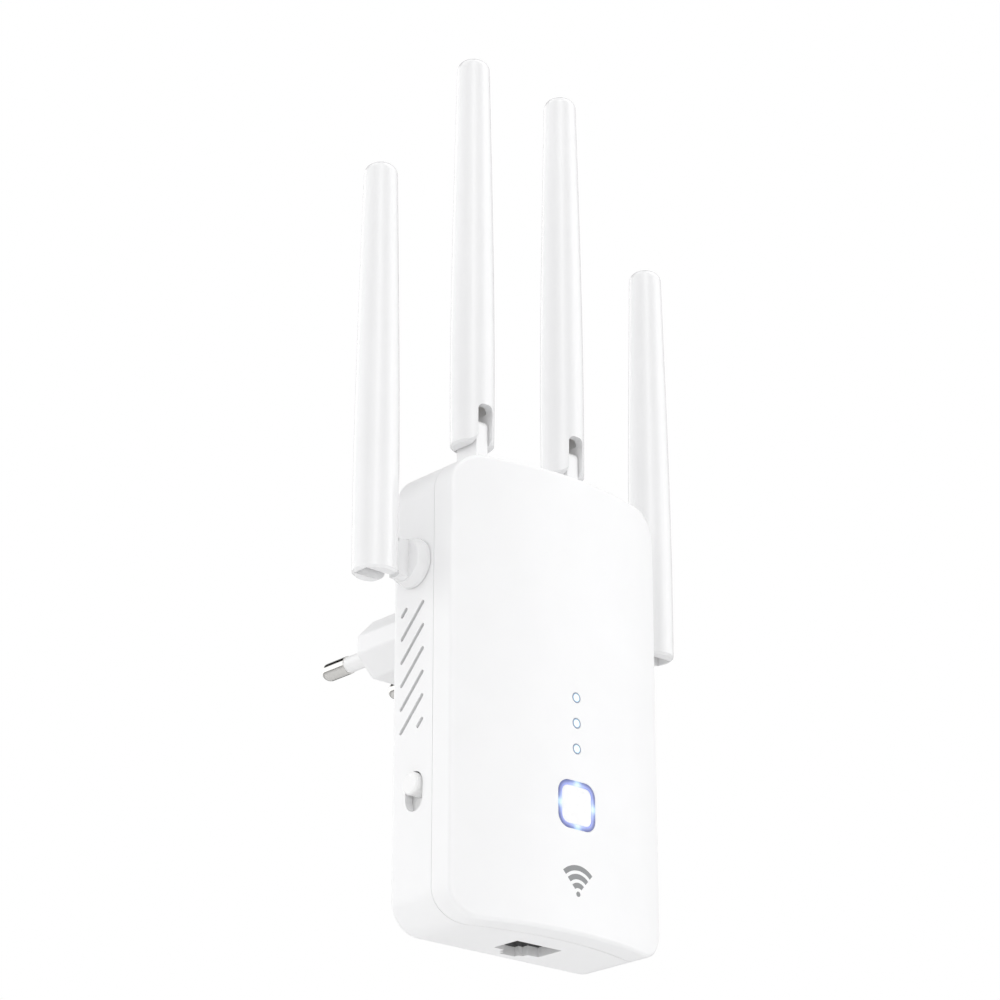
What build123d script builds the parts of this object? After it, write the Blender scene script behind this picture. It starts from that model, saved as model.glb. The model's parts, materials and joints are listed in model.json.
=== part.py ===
from build123d import *
import os

# A plug-in wifi range extender: a white two-part housing with a bowed front, a two-pin mains
# plug on its back, a network socket underneath and four antennas that swivel and fold.
#
# Millimetres, +Z up, front towards -Y, plug pins towards +Y. Everything is drawn in the
# housing's own frame, whose zero is the middle of the bottom edge of the rear face. export()
# then shifts it, so that the origin is midway between the pins on the plug's end face.

os.makedirs("parts", exist_ok=True)

# ---------------------------------------------------------------- driving dimensions
# Housing
body_width = 57.5
body_height = 99.0
side_depth = 19.0          # rear face to the side edges of the front
front_bulge = 6.2          # the front's middle stands this far beyond its side edges
corner_radius = 7.0
wall = 2.0
cover_side = 5.4           # side wall of the front cover, from the front to the parting line
seam = 0.15                # open joint between cover and case
front_edge_radius = 0.9
rear_edge_radius = 2.0
lip_thickness = 1.0
lip_depth = 1.2
lip_gap = 0.15

# Fits
running_gap = 0.05         # radial, for what turns
sliding_gap = 0.12         # each side, for what slides
loose_gap = 0.1            # each side, for what is only placed
seat_gap = 0.015           # under what seats on a curved face

# Mains plug: two 4 mm pins at 19 mm centres on a hexagonal boss
pin_drop = 27.7            # pins below the top of the housing
pin_spacing = 19.0
pin_radius = 2.0
pin_core_radius = 1.5
pin_length = 19.0
pin_sleeve_radius = 1.8
pin_sleeve_length = 10.5
pin_head_radius = 2.4
pin_head_thickness = 1.2
pin_stub_radius = 1.0
pin_stub_length = 4.6
plug_depth = 27.0          # boss behind the rear face
plug_half_width = 16.2
plug_half_height = 6.6
plug_flat_half = 2.0       # half the upright flat at each side of the boss
plug_top_half = 11.8       # half the level flat above and below
plug_wall = 1.8
strip_thickness = 0.6      # sprung strip from a pin to the power board
plug_end_wall = 3.5
plug_edge_radius = 0.6
plug_corner_radius = 1.2
plug_flange_margin = 2.6
plug_flange_thickness = 1.5
retainer_thickness = 2.0
retainer_screw_depth = 2.6

# Antennas: collar, tongue and a tapering blade
collar_depth = 7.35        # collar centre in front of the rear face
side_collar_drop = 22.0    # side collars below the top of the housing
top_collar_offset = 13.1   # top collars each side of the middle
collar_radius = 5.3
collar_top_radius = 4.6
collar_rim = 0.8
collar_top_round = 0.4
collar_height = 2.9
shank_radius = 4.3         # flattened shank between the collar and the folded blade
shank_end_gap = 0.4        # from the shank to the folded blade
collar_gap = 0.15
neck_radius = 3.5
neck_groove_radius = 2.6
clip_thickness = 1.0
clip_radius = 4.8
clip_mouth = 4.4
neck_end = 1.2
tongue_thickness = 3.1
tongue_width = 6.4
tongue_front_round = 1.6
tongue_back_round = 1.7
tongue_reach = 2.2         # tongue beyond the fold axis
hinge_height = 12.0        # fold axis above the wall the collar stands on
hinge_offset = 1.4         # fold axis behind the blade's own axis
trunnion_radius = 1.2
trunnion_reach = 0.9       # into each cheek of the blade
lead_bore_radius = 0.8
lead_bore_offset = 1.0
blade_length = 94.2
blade_radius = 4.7         # at the base
blade_tip_radius = 3.6
blade_swell = ((0.18, 1.02), (0.42, 0.985), (0.66, 0.905))   # share of length, of base radius
blade_tip_round = 2.3
blade_wall = 1.5
blade_bore_radius = 3.0
blade_base_chamfer = 0.5
hinge_to_blade_end = 3.6
slot_width = 4.0
slot_above_hinge = 5.15
slot_behind_hinge = 2.4
slot_corner_radius = 1.3
cheek_corner_radius = 3.0
radiator_length = 60.0
radiator_width = 3.2
radiator_thickness = 0.8
radiator_start = 12.0

# Side vents and mode switch
vent_width = 0.9
vent_run = 6.5             # each vent climbs at 45 degrees over this depth
vent_pitch = 5.05
vent_front = 10.1          # forward end of the vents, in front of the rear face
vent_top_drop = 15.6       # lower end of the top long vent, below the side collar
vent_short_run = 1.2
switch_height = 27.9       # middle of the switch opening
switch_depth = 7.9
switch_opening_width = 5.4
switch_opening_height = 8.4
switch_travel = 3.0
switch_knob_radius = 2.4
switch_knob_proud = 1.2
switch_knob_round = 0.5
switch_flange = 1.0
switch_flange_overlap = 1.3
switch_body_back = 4.6
switch_body_depth = 3.5
switch_body_half = 6.0
switch_body_gap = 1.0      # between the knob's plate and the switch body
lever_width = 2.4
lever_thickness = 1.6
lever_into_body = 1.4

# Front: three status lights over a ring-lit button
light_top_drop = 49.2      # top light below the top of the housing
light_pitch = 5.5
light_count = 3
light_radius = 1.05
light_bar_width = 3.4
light_bar_thickness = 1.1
button_drop = 72.2         # button below the top of the housing
ring_size = 10.0
ring_corner = 2.7
ring_width = 0.9
ring_flange = 1.3
ring_flange_thickness = 0.9
button_flange = 0.7
button_flange_thickness = 0.9
button_travel = 0.35
cap_recess = 0.12
tact_size = 4.5
tact_height = 1.8
tact_bore = 1.25
plunger_radius = 1.1
plunger_inside = 0.8
plunger_proud = 0.6
stem_radius = 1.65

# Network socket
socket_width = 11.9
socket_back = 6.6          # main cavity, in front of the rear face
socket_front = 13.5
latch_wide_half = 3.1
latch_wide_back = 5.0
latch_narrow_half = 2.0
latch_narrow_back = 3.8
socket_reach = 14.0
jack_width = 15.6
jack_length = 21.0
jack_back = 2.7
contact_count = 8
contact_pitch = 1.02
contact_size = 0.35
contact_rise = 1.4
contact_start = 3.0        # from the socket's mouth to the first of each wire
contact_flat = 2.0

# Boards
board_thickness = 1.6
power_board_back = 4.2
power_board_top_gap = 11.0
power_board_drop = 25.3    # its lower edge below the plug pins
power_board_side_gap = 4.75
main_board_inset = 3.8     # back of the main board behind the side edges of the front
main_board_side_gap = 1.75
main_board_bottom = 4.5
main_board_top_gap = 5.0
board_over_switch = 1.0    # least step from the mode switch up to the power board
post_radius = 2.4
post_inset = 5.0
board_screw_radius = 0.9
board_screw_head_radius = 1.8
board_screw_head = 1.2
board_screw_length = 5.0
power_screw_length = 3.2
header_pins = 6
header_pitch = 2.0
header_block = 2.4
header_pin_size = 0.6
lead_radius = 0.57
lead_reach = 5.5
connector_radius = 1.3
connector_height = 1.2

# Parts on the power board, heights from the plug pins
core_width = 13.0
core_height = 13.0
core_thickness = 5.0
core_leg = 3.0
winding_gap = 0.2
winding_round = 1.2
transformer_x = 8.5
transformer_rise = 4.0
input_can = (4.0, 14.0)    # radius and length of each can
output_can = (3.0, 10.0)
fuse_can = (1.5, 8.0)
safety_can = (1.8, 7.0)
upper_row = 4.0
lower_row = -12.0
output_can_x = 13.5
controller_size = (4.0, 5.0, 1.5)
controller_x = 5.0
controller_rise = -9.0

# Parts on the main board
shield_size = 25.0
shield_height = 2.4
shield_skin = 0.3
shield_drop = 26.5         # middle of the shield below the top of the housing
processor_size = (12.0, 12.0, 1.1)
spreader_size = 22.0
spreader_thickness = 1.2
spreader_ribs = 6
memory_size = (10.0, 6.0, 1.0)
led_size = (1.6, 1.6, 0.7)
magnetics_size = (16.0, 10.0, 3.0)
magnetics_above_jack = 7.0
chip_corner_radius = 0.2

# Case screws
case_boss_radius = 3.0
case_boss_inset = 6.5
case_boss_end = 9.0
case_boss_bottom = 9.0
case_boss_meet = 10.0      # where case and cover bosses meet, in front of the rear face
case_screw_radius = 1.2
case_screw_head_radius = 2.1
case_screw_head = 1.4
case_screw_seat = 4.0
case_screw_length = 12.0
case_screw_slot = 0.6

# ---------------------------------------------------------------- values that follow
half_width = body_width / 2
parting_depth = side_depth - cover_side
bow_radius = (half_width**2 + front_bulge**2) / (2 * front_bulge)
front_depth = side_depth + front_bulge
side_collar_height = body_height - side_collar_drop
pin_height = body_height - pin_drop
button_height = body_height - button_drop
light_top_height = body_height - light_top_drop
shield_middle = body_height - shield_drop
main_board_back = side_depth - main_board_inset
blade_base = hinge_height - hinge_to_blade_end
blade_widest = blade_radius * max(wide for up, wide in blade_swell)
main_board_front = main_board_back + board_thickness
power_board_front = power_board_back + board_thickness
light_heights = [light_top_height - i * light_pitch for i in range(light_count)]
ring_inner = ring_size - 2 * ring_width
ring_inner_corner = ring_corner - ring_width
ring_flange_half = ring_size / 2 + ring_flange
ring_flange_drop = bow_radius - (bow_radius**2 - ring_flange_half**2) ** 0.5
ring_back = front_depth - wall - ring_flange_drop - ring_flange_thickness - seat_gap
shank_end = hinge_height - hinge_offset - blade_widest - shank_end_gap
plug_inner_end = plug_depth - plug_end_wall
pin_head_end = plug_inner_end - pin_head_thickness
retainer_front = pin_head_end - retainer_thickness
core_side_window = (core_width - 3 * core_leg) / 2
core_middle_y = -power_board_front - core_side_window - core_thickness / 2


# ---------------------------------------------------------------- drawing helpers
def block(x_span, y_span, z_span):
    """Box between two coordinates along each axis."""
    spans = (x_span, y_span, z_span)
    size = [abs(b - a) for a, b in spans]
    middle = [(a + b) / 2 for a, b in spans]
    return Pos(*middle) * Box(*size)


def rod(radius, x, z, y_from, y_to):
    """Round bar along Y."""
    middle = Pos(x, (y_from + y_to) / 2, z)
    return middle * Rot(90, 0, 0) * Cylinder(radius, abs(y_to - y_from))


def plate_y(outline, z, y_back, thickness, x=0):
    """Flat outline standing in the XZ plane, thickened forward from y_back."""
    plane = Plane((x, y_back, z), x_dir=(1, 0, 0), z_dir=(0, -1, 0))
    return extrude(plane * outline, thickness)


def behind(depth):
    """All that lies behind the bowed surface whose side edges are depth from the rear face."""
    centre_y = bow_radius - front_bulge - depth
    return Pos(0, centre_y, body_height / 2) * Cylinder(bow_radius, 2 * body_height)


def outline_block(inset, depth_from, depth_to):
    """The housing's rounded outline, drawn in by inset, between two depths."""
    outline = RectangleRounded(
        body_width - 2 * inset, body_height - 2 * inset, corner_radius - inset
    )
    return plate_y(outline, body_height / 2, -depth_from, depth_to - depth_from)


def union(shapes):
    whole = shapes[0]
    for shape in shapes[1:]:
        whole = whole + shape
    return whole


def export(name, *solids):
    """Write one sub-part in the finished frame."""
    shift = Pos(0, -plug_depth, -pin_height)
    moved = [shift * solid for solid in solids]
    shape = moved[0] if len(moved) == 1 else Compound(children=moved)
    export_step(shape, f"parts/{name}.step")


# ---------------------------------------------------------------- shared layouts
case_boss_spots = [
    (side * (half_width - case_boss_inset), z)
    for side in (-1, 1)
    for z in (case_boss_bottom, body_height - case_boss_end)
]

main_board_half = half_width - wall - main_board_side_gap
main_board_top = body_height - wall - main_board_top_gap
main_post_spots = [
    (side * (main_board_half - post_inset), z)
    for side in (-1, 1)
    for z in (switch_height + switch_body_half + 2 * post_radius, side_collar_height - post_inset)
]

power_board_half = half_width - wall - power_board_side_gap
power_board_top = body_height - wall - power_board_top_gap
power_board_bottom = max(
    pin_height - power_board_drop, switch_height + switch_body_half + board_over_switch
)
power_post_spots = [
    (side * (power_board_half - post_radius), z)
    for side in (-1, 1)
    for z in (power_board_bottom + post_radius, power_board_top - post_radius)
]


def antenna_planes():
    """Name and standing plane of each antenna: local Z leaves the wall, it folds to local -Y."""
    side_z = side_collar_height
    return {
        "left": Plane((-half_width, -collar_depth, side_z), x_dir=(0, 1, 0), z_dir=(-1, 0, 0)),
        "top_left": Plane((-top_collar_offset, -collar_depth, body_height)),
        "top_right": Plane((top_collar_offset, -collar_depth, body_height)),
        "right": Plane((half_width, -collar_depth, side_z), x_dir=(0, -1, 0), z_dir=(1, 0, 0)),
    }


def plug_outline(margin):
    """Hexagon-like boss outline with short upright flats, grown by margin."""
    wide = plug_half_width + margin
    tall = plug_half_height + margin
    flat = plug_flat_half + margin / 3
    top = plug_top_half + margin / 3
    quarter = [(wide, flat), (top, tall)]
    upper = quarter + [(-x, z) for x, z in reversed(quarter)]
    lower = [(-x, -z) for x, z in upper]
    return make_face(Polyline(*upper, *lower, close=True))


def socket_outline(margin):
    """Network socket mouth in the XY plane, with the two-step notch for the plug's latch."""
    mid = (socket_front + socket_back) / 2
    main = Pos(0, -mid) * Rectangle(
        socket_width + 2 * margin, socket_front - socket_back + 2 * margin
    )
    steps = ((latch_wide_half, latch_wide_back), (latch_narrow_half, latch_narrow_back))
    for half, back in steps:
        depth = mid - back + margin
        main = main + Pos(0, -mid + depth / 2) * Rectangle(2 * (half + margin), depth)
    return main


# ---------------------------------------------------------------- housing
def front_cover():
    deep = front_depth + 1
    outer = outline_block(0, 0, deep) & behind(side_depth)
    front_face = outer.faces().sort_by(Axis.Y)[0]
    outer = fillet(front_face.edges(), front_edge_radius)
    outer = outer - behind(parting_depth)
    cavity = outline_block(wall, 0, deep) & behind(side_depth - wall)
    cover = outer - cavity

    lip_inset = wall + lip_gap
    rib_depth = parting_depth + lip_thickness
    inside = outline_block(lip_inset + lip_thickness, 0, deep)
    rib = outline_block(wall / 2, 0, deep) & behind(rib_depth)
    rib = rib - behind(parting_depth) - inside
    lip = outline_block(lip_inset, 0, deep) & behind(rib_depth)
    lip = lip - behind(parting_depth - lip_depth) - inside
    cover = cover + rib + lip

    inner_skin = behind(side_depth - wall / 2)
    for x, z in case_boss_spots:
        cover = cover + (rod(case_boss_radius, x, z, -case_boss_meet, -deep) & inner_skin)
    for x, z in main_post_spots:
        cover = cover + (rod(post_radius, x, z, -main_board_front, -deep) & inner_skin)
    for x, z in case_boss_spots:
        end = case_screw_seat + case_screw_length
        cover = cover - rod(case_screw_radius, x, z, -case_boss_meet, -end)
    for x, z in main_post_spots:
        end = main_board_back + board_screw_length
        cover = cover - rod(board_screw_radius, x, z, -main_board_front, -end)

    for z in light_heights:
        cover = cover - rod(light_radius + loose_gap, 0, z, -parting_depth, -deep)
    hole = RectangleRounded(
        ring_size + 2 * loose_gap, ring_size + 2 * loose_gap, ring_corner + loose_gap
    )
    return cover - plate_y(hole, button_height, -parting_depth, deep - parting_depth)


def vent(start_depth, start_height, run):
    """One slanted slot through a side wall, rising towards the front."""
    length = run * 2**0.5
    slot = SlotCenterToCenter(length, vent_width)
    middle = (0, -start_depth - run / 2, start_height + run / 2)
    slanted = Plane(middle, x_dir=(0, -1, 1), z_dir=(1, 0, 0)) * slot
    through = extrude(slanted, body_width, both=True)
    return through - outline_block(wall + running_gap, -body_width, body_width)


def vents():
    """A column of long slots with a short one tucked in at each end, through both side walls."""
    top_start = side_collar_height - vent_top_drop
    lowest = switch_height + switch_opening_height / 2 + vent_pitch - vent_width
    count = int((top_start - lowest) / vent_pitch) + 1
    back = vent_front - vent_run
    slots = [vent(back, top_start - i * vent_pitch, vent_run) for i in range(count)]
    slots.append(vent(back, top_start + vent_pitch, vent_short_run))
    last = top_start - (count - 1) * vent_pitch
    short_back = vent_front - vent_short_run
    slots.append(vent(short_back, last + vent_run - vent_short_run - vent_pitch, vent_short_run))
    return slots


def switch_opening():
    outline = SlotOverall(switch_opening_height, switch_opening_width)
    plane = Plane(
        (-half_width - 1, -switch_depth, switch_height), x_dir=(0, 0, 1), z_dir=(1, 0, 0)
    )
    return extrude(plane * outline, wall + 2)


def rear_case():
    outer = outline_block(0, 0, front_depth)
    rear_face = outer.faces().sort_by(Axis.Y)[-1]
    outer = fillet(rear_face.edges(), rear_edge_radius) & behind(parting_depth - seam)
    case = outer - outline_block(wall, wall, front_depth)

    for x, z in case_boss_spots:
        case = case + rod(case_boss_radius, x, z, -wall / 2, -case_boss_meet)
    for x, z in power_post_spots:
        case = case + rod(post_radius, x, z, -wall / 2, -power_board_back)
    for x, z in case_boss_spots:
        case = case - rod(case_screw_head_radius + loose_gap, x, z, 1, -case_screw_seat)
        case = case - rod(case_screw_radius + loose_gap, x, z, 1, -case_boss_meet)
    for x, z in power_post_spots:
        end = power_board_back - power_screw_length + board_thickness
        case = case - rod(board_screw_radius, x, z, -power_board_back, -end)

    case = case - plate_y(plug_outline(loose_gap), pin_height, wall, 3 * wall)
    for plane in antenna_planes().values():
        case = case - plane * Cylinder(neck_radius + running_gap, 3 * wall)
    for slot in vents():
        case = case - slot
    case = case - switch_opening()
    mouth = extrude(socket_outline(loose_gap), 2 * wall, both=True)
    return case - mouth


# ---------------------------------------------------------------- mains plug
def plug_housing():
    flange_back = wall + plug_flange_thickness
    length = plug_depth + flange_back
    boss = plate_y(plug_outline(0), pin_height, plug_depth, length)
    boss = fillet(boss.edges().filter_by(Axis.Y), plug_corner_radius)
    end_face = boss.faces().sort_by(Axis.Y)[-1]
    boss = fillet(end_face.edges(), plug_edge_radius)
    flange = plate_y(
        plug_outline(plug_flange_margin), pin_height, -wall, plug_flange_thickness
    )
    hollow = plate_y(
        plug_outline(-plug_wall), pin_height, plug_inner_end, length
    )
    post = rod(post_radius, 0, pin_height, plug_inner_end, pin_head_end)
    housing = boss + flange - hollow + post
    for side in (-1, 1):
        x = side * pin_spacing / 2
        housing = housing - rod(pin_sleeve_radius, x, pin_height, plug_depth + 1, pin_head_end)
    pilot_end = plug_inner_end + retainer_screw_depth
    return housing - rod(board_screw_radius, 0, pin_height, retainer_front, pilot_end)


def plug_pin(side):
    x = side * pin_spacing / 2
    tip = plug_depth + pin_length
    shoulder = plug_depth + pin_sleeve_length
    metal = rod(pin_radius, x, pin_height, shoulder, tip - pin_radius)
    dome = Pos(x, tip - pin_radius, pin_height) * Sphere(pin_radius)
    core = rod(pin_core_radius, x, pin_height, plug_inner_end, shoulder)
    head = rod(pin_head_radius, x, pin_height, pin_head_end, plug_inner_end)
    stub = rod(pin_stub_radius, x, pin_height, pin_head_end - pin_stub_length, plug_inner_end)
    return metal + dome + core + head + stub


def plug_sleeve(side):
    x = side * pin_spacing / 2
    end = plug_depth + pin_sleeve_length
    sleeve = rod(pin_sleeve_radius, x, pin_height, plug_inner_end, end)
    return sleeve - rod(pin_core_radius, x, pin_height, plug_inner_end, end)


def pin_retainer():
    """Plate that clamps both pin heads against the plug's end wall."""
    width = pin_spacing + 2 * pin_head_radius
    height = 2 * pin_head_radius + retainer_thickness
    outline = RectangleRounded(width, height, pin_stub_radius)
    plate = plate_y(outline, pin_height, pin_head_end, retainer_thickness)
    for side in (-1, 1):
        x = side * pin_spacing / 2
        hole = rod(pin_stub_radius + loose_gap, x, pin_height, pin_head_end, retainer_front)
        plate = plate - hole
    screw_hole = rod(
        board_screw_radius + loose_gap, 0, pin_height, pin_head_end, retainer_front
    )
    return plate - screw_hole


def retainer_screw():
    head_end = retainer_front - board_screw_head
    head = rod(board_screw_head_radius, 0, pin_height, retainer_front, head_end)
    end = plug_inner_end + retainer_screw_depth
    return head + rod(board_screw_radius, 0, pin_height, retainer_front, end)


def mains_contact(side):
    """Sprung strip from a pin's stub forward to the power board."""
    x = side * pin_spacing / 2
    half = pin_stub_radius + 3 * strip_thickness / 2
    bottom = pin_height - half - strip_thickness
    tab = block(
        (x - half, x + half),
        (retainer_front - strip_thickness, retainer_front),
        (bottom, pin_height + half),
    )
    tab = tab - rod(pin_stub_radius, x, pin_height, retainer_front + 1, retainer_front - 1)
    strip = block(
        (x - half, x + half),
        (retainer_front, -power_board_back),
        (bottom, bottom + strip_thickness),
    )
    return tab + strip


# ---------------------------------------------------------------- boards and what they carry
def main_board():
    height = main_board_top - main_board_bottom
    outline = Rectangle(2 * main_board_half, height)
    middle = main_board_bottom + height / 2
    board = plate_y(outline, middle, -main_board_back, board_thickness)
    notch = case_boss_radius + 4 * loose_gap
    for x, z in case_boss_spots:
        side = 1 if x > 0 else -1
        up = 1 if z > middle else -1
        corner = block(
            (x - side * notch, x + side * body_width),
            (-front_depth, 0),
            (z - up * notch, z + up * body_height),
        )
        board = board - corner
    for x, z in main_post_spots:
        board = board - rod(board_screw_radius + loose_gap, x, z, 0, -front_depth)
    return board


def power_board():
    outline = Rectangle(2 * power_board_half, power_board_top - power_board_bottom)
    middle = (power_board_bottom + power_board_top) / 2
    board = plate_y(outline, middle, -power_board_back, board_thickness)
    for x, z in power_post_spots:
        board = board - rod(board_screw_radius + loose_gap, x, z, 0, -front_depth)
    return board


def board_screws():
    screws = []
    for x, z in main_post_spots:
        seat = -main_board_back
        head = rod(board_screw_head_radius, x, z, seat + board_screw_head, seat)
        screws.append(head + rod(board_screw_radius, x, z, seat, seat - board_screw_length))
    for x, z in power_post_spots:
        seat = -power_board_front
        head = rod(board_screw_head_radius, x, z, seat - board_screw_head, seat)
        screws.append(head + rod(board_screw_radius, x, z, seat, seat + power_screw_length))
    return screws


def case_screws():
    screws = []
    for x, z in case_boss_spots:
        seat = -case_screw_seat
        head = rod(case_screw_head_radius, x, z, seat + case_screw_head, seat)
        slot = block(
            (x - case_screw_head_radius, x + case_screw_head_radius),
            (seat + case_screw_head / 2, seat + case_screw_head),
            (z - case_screw_slot / 2, z + case_screw_slot / 2),
        )
        cross = slot.rotate(Axis((x, 0, z), (0, 1, 0)), 90)
        shank = rod(case_screw_radius, x, z, seat, seat - case_screw_length)
        screws.append(head - slot - cross + shank)
    return screws


def transformer_core():
    """E-shaped ferrite pair round the winding."""
    z = pin_height + transformer_rise
    core = Pos(transformer_x, core_middle_y, z) * Box(core_width, core_thickness, core_height)
    window = Box(core_side_window, 2 * core_thickness, core_height - 2 * core_leg)
    for side in (-1, 1):
        x = transformer_x + side * (core_leg + core_side_window) / 2
        core = core - Pos(x, core_middle_y, z) * window
    return core


def transformer_winding():
    """Coil on the core's middle leg; it stands as far out in front and behind as at its sides."""
    place = Pos(transformer_x, core_middle_y, pin_height + transformer_rise)
    wound = core_side_window - winding_gap
    width = core_leg + 2 * wound
    depth = core_thickness + 2 * wound
    height = core_height - 2 * core_leg - 2 * winding_gap
    coil = place * Box(width, depth, height)
    coil = fillet(coil.edges().filter_by(Axis.Z), winding_round)
    bore = Box(core_leg + 2 * winding_gap, core_thickness + 2 * winding_gap, core_height)
    return coil - place * bore


def lying_can(size, x, z):
    """Round can lying on the front of the power board, with a rolled groove near one end."""
    radius, length = size
    y = -power_board_front - radius
    can = Pos(x, y, z) * Cylinder(radius, length)
    can = fillet(can.edges().filter_by(GeomType.CIRCLE), radius / 8)
    groove = Pos(x, y, z - length / 2 + radius / 2) * Torus(radius, radius / 10)
    return can - groove


def chip(x, z, size, y_back=-main_board_front):
    """Flat package standing on a board: width, height and thickness, from y_back forward."""
    width, height, thickness = size
    outline = RectangleRounded(width, height, chip_corner_radius)
    return plate_y(outline, z, y_back, thickness, x)


def board_header():
    """Row of pins that carries the supply from the power board to the main board."""
    z = power_board_bottom + post_radius
    length = header_pins * header_pitch
    base = block(
        (-length / 2, length / 2),
        (-power_board_front - header_block, -power_board_front),
        (z - header_block / 2, z + header_block / 2),
    )
    half = header_pin_size / 2
    pins = []
    for i in range(header_pins):
        x = (i - (header_pins - 1) / 2) * header_pitch
        pin = block(
            (x - half, x + half), (-main_board_back, -power_board_front), (z - half, z + half)
        )
        pins.append(pin)
    return union([base] + pins)


def rf_shield():
    """Open-backed sheet-metal can over the radio chips."""
    inner_size = shield_size - 2 * shield_skin
    outer = chip(0, shield_middle, (shield_size, shield_size, shield_height))
    inner = chip(0, shield_middle, (inner_size, inner_size, shield_height - shield_skin))
    return outer - inner


def thermal_pad():
    """Soft pad that fills the space between the processor and the shield."""
    width, height, processor_thickness = processor_size
    thickness = shield_height - shield_skin - processor_thickness
    back = -main_board_front - processor_thickness
    return chip(0, shield_middle, (width, height, thickness), back)


def heat_spreader():
    """Ribbed plate on the front of the shield."""
    back = -main_board_front - shield_height
    size = (spreader_size, spreader_size, spreader_thickness)
    plate = chip(0, shield_middle, size, back)
    pitch = spreader_size / spreader_ribs
    for i in range(1, spreader_ribs):
        x = -spreader_size / 2 + i * pitch
        groove = block(
            (x - pitch / 5, x + pitch / 5),
            (back - spreader_thickness, back - spreader_thickness / 2),
            (shield_middle - spreader_size, shield_middle + spreader_size),
        )
        plate = plate - groove
    return plate


def led_chips():
    """One behind each status light and one behind each side of the ring."""
    chips = [chip(0, z, led_size) for z in light_heights]
    reach = (ring_size - ring_width) / 2
    for dx, dz in ((reach, 0), (-reach, 0), (0, reach), (0, -reach)):
        chips.append(chip(dx, button_height + dz, led_size))
    return chips


# ---------------------------------------------------------------- lights and button
def flush(shape, below=0.0):
    """Trim a piece to the bowed front, or just below it."""
    return shape & behind(side_depth - below)


def status_light_pipe():
    """One clear moulding: three rods joined behind the cover."""
    start = main_board_front + led_size[2] + loose_gap
    rods = [rod(light_radius, 0, z, -start, -front_depth - 1) for z in light_heights]
    length = light_heights[0] - light_heights[-1] + light_bar_width
    bar_back = front_depth - wall - loose_gap - light_bar_thickness
    bar_outline = SlotOverall(length, light_bar_width, rotation=90)
    middle = (light_heights[0] + light_heights[-1]) / 2
    bar = plate_y(bar_outline, middle, -bar_back, light_bar_thickness - loose_gap)
    return flush(union(rods + [bar]))


def ring_light_guide():
    """Rounded-square clear tube flush with the front, flanged behind the cover."""
    outer = RectangleRounded(ring_size, ring_size, ring_corner)
    tube = plate_y(outer, button_height, -ring_back, front_depth)
    flange_size = ring_size + 2 * ring_flange
    flange_outline = RectangleRounded(flange_size, flange_size, ring_corner + ring_flange)
    flange = plate_y(flange_outline, button_height, -ring_back, ring_flange_thickness)
    bore = RectangleRounded(ring_inner, ring_inner, ring_inner_corner)
    hollow = plate_y(bore, button_height, 0, 2 * front_depth)
    return flush(tube + flange - hollow)


def button_cap():
    """Cap inside the ring, with a flange behind it and a stem down to the switch."""
    cap_size = ring_inner - 2 * sliding_gap
    flange_front = ring_back - loose_gap
    outline = RectangleRounded(cap_size, cap_size, ring_inner_corner - sliding_gap)
    cap = plate_y(outline, button_height, -flange_front, front_depth)
    flange_size = ring_inner + 2 * button_flange
    flange_outline = RectangleRounded(flange_size, flange_size, ring_inner_corner)
    flange_back = flange_front - button_flange_thickness
    flange = plate_y(flange_outline, button_height, -flange_back, button_flange_thickness)
    plunger_top = main_board_front + tact_height + plunger_proud
    stem = rod(stem_radius, 0, button_height, -plunger_top, -flange_front)
    return flush(cap + flange + stem, cap_recess)


def tact_switch():
    body = chip(0, button_height, (tact_size, tact_size, tact_height))
    top = main_board_front + tact_height
    bore_radius = plunger_radius + running_gap
    return body - rod(bore_radius, 0, button_height, -(top - tact_bore), -top)


def tact_plunger():
    top = main_board_front + tact_height + plunger_proud
    bottom = main_board_front + tact_height - plunger_inside
    return rod(plunger_radius, 0, button_height, -bottom, -top)


# ---------------------------------------------------------------- mode switch
def switch_x(inside):
    """X of a point that is inside the left wall's inner face by this much."""
    return -half_width + wall + inside


def mode_switch_knob():
    """Round thumb pad on a sliding plate that closes the opening from inside."""
    z = switch_height + switch_travel / 2
    outer = -half_width - switch_knob_proud
    plate_x = switch_x(sliding_gap)
    pad = Pos((outer + plate_x) / 2, -switch_depth, z) * Rot(0, 90, 0)
    pad = pad * Cylinder(switch_knob_radius, plate_x - outer)
    pad = fillet(pad.edges().sort_by(Axis.X)[0], switch_knob_round)
    half_y = switch_opening_width / 2 + switch_flange_overlap
    half_z = switch_opening_height / 2 + switch_flange_overlap + switch_travel / 2
    plate = block(
        (plate_x, plate_x + switch_flange),
        (-switch_depth - half_y, -switch_depth + half_y),
        (z - half_z, z + half_z),
    )
    return pad + plate


def mode_switch_slider():
    """Lever from the knob's plate into the switch body."""
    z = switch_height + switch_travel / 2
    start = switch_x(sliding_gap) + switch_flange
    end = start + switch_body_gap + lever_into_body
    half = lever_width / 2
    depth_half = lever_thickness / 2
    return block(
        (start, end),
        (-switch_depth - depth_half, -switch_depth + depth_half),
        (z - half, z + half),
    )


def mode_switch_body():
    start = switch_x(sliding_gap) + switch_flange + switch_body_gap
    body = block(
        (start, start + switch_body_depth),
        (-main_board_back, -switch_body_back),
        (switch_height - switch_body_half, switch_height + switch_body_half),
    )
    reach = (lever_width + switch_travel) / 2 + sliding_gap
    depth_half = lever_thickness / 2 + sliding_gap
    slot = block(
        (start - 1, start + lever_into_body + sliding_gap),
        (-switch_depth - depth_half, -switch_depth + depth_half),
        (switch_height - reach, switch_height + reach),
    )
    return body - slot


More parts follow.
